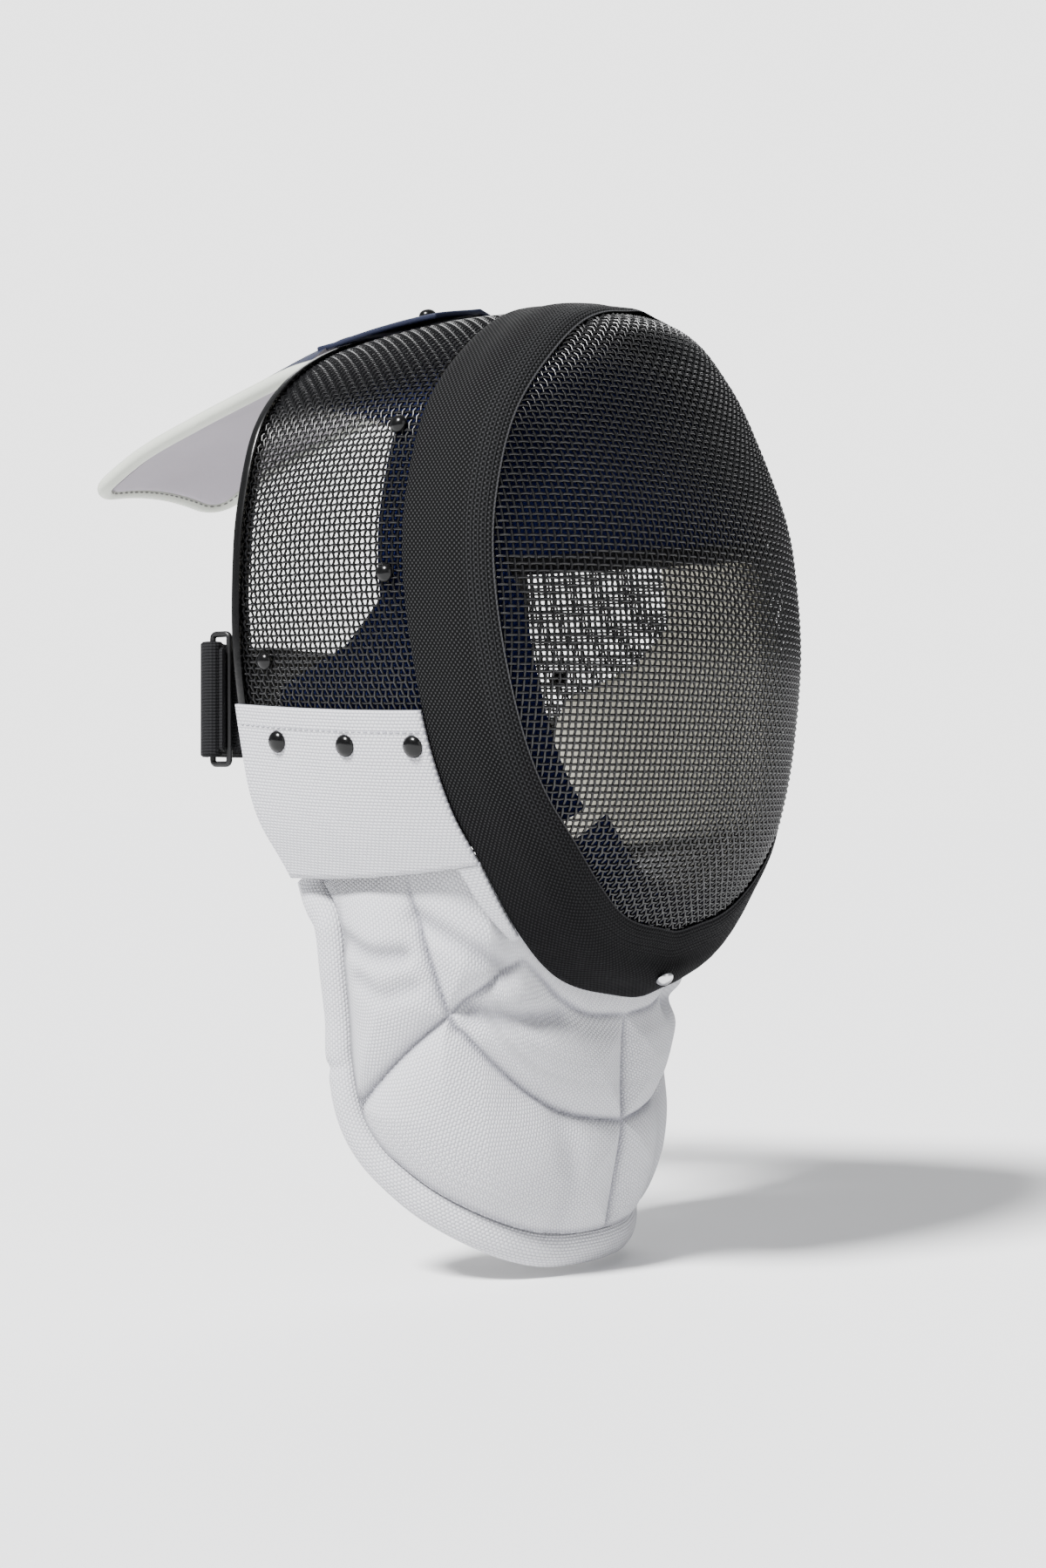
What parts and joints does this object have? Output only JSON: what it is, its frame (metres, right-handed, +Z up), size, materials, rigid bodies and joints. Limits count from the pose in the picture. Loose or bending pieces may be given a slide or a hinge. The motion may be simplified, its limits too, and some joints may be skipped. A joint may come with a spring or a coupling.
{
  "type": "fencing mask",
  "caption": "Fencing mask: black woven wire bowl and side shell with elastic trim, padded white cloth bib, navy padded lining, spring tongue at the back and an elastic rear strap",
  "frame": {"origin": "where the crown of the wearer's head meets the lining, on the mask's middle plane", "axes": "+Z up, the mask faces -Y, +X is the wearer's left"},
  "size_m": [0.216, 0.309, 0.3836],
  "materials": {
    "wire_black": "black painted steel wire, satin, plain weave",
    "elastic_charcoal": "woven elastic webbing, matte, ribbed lengthwise",
    "binding_black": "glossy black edge channel",
    "cloth_white": "white woven cloth with a fine grain, quilted",
    "lining_navy": "dark navy padded knit, matte",
    "tongue_navy": "dark navy cloth over a spring strip",
    "tongue_lining": "smooth grey lining with a mauve cast",
    "vinyl_cream": "off-white soft vinyl edge roll, satin",
    "rivet_black": "glossy black domed head",
    "rivet_bright": "bright plated domed head",
    "elastic_black": "black elastic webbing, ribbed",
    "plastic_black": "satin black moulded plastic"
  },
  "bodies": {
    "root": {"front_mesh": "wire_black", "side_mesh": "wire_black", "trim_band": "elastic_charcoal", "rear_binding": "binding_black", "side_panel_right": "cloth_white", "side_panel_left": "cloth_white", "bib": "cloth_white", "bib_hem": "cloth_white", "cheek_pad_right": "lining_navy", "cheek_pad_left": "lining_navy", "chin_pad": "lining_navy", "crown_pad": "lining_navy", "forehead_pad": "lining_navy", "tongue_pad": "tongue_lining", "tongue_binding": "vinyl_cream", "tongue_strap": "tongue_navy", "liner_rivet_right_1": "rivet_black", "liner_rivet_right_2": "rivet_black", "liner_rivet_right_3": "rivet_black", "liner_rivet_left_1": "rivet_black", "liner_rivet_left_2": "rivet_black", "liner_rivet_left_3": "rivet_black", "panel_rivet_right_1": "rivet_black", "panel_rivet_right_2": "rivet_black", "panel_rivet_right_3": "rivet_black", "panel_rivet_left_1": "rivet_black", "panel_rivet_left_2": "rivet_black", "panel_rivet_left_3": "rivet_black", "chin_rivet": "rivet_bright", "crown_rivet_right": "rivet_black", "crown_rivet_left": "rivet_black", "back_strap": "elastic_black", "strap_loop_right": "plastic_black", "strap_loop_left": "plastic_black", "strap_tab_right": "elastic_black", "strap_tab_left": "elastic_black"}
  },
  "joints": []
}
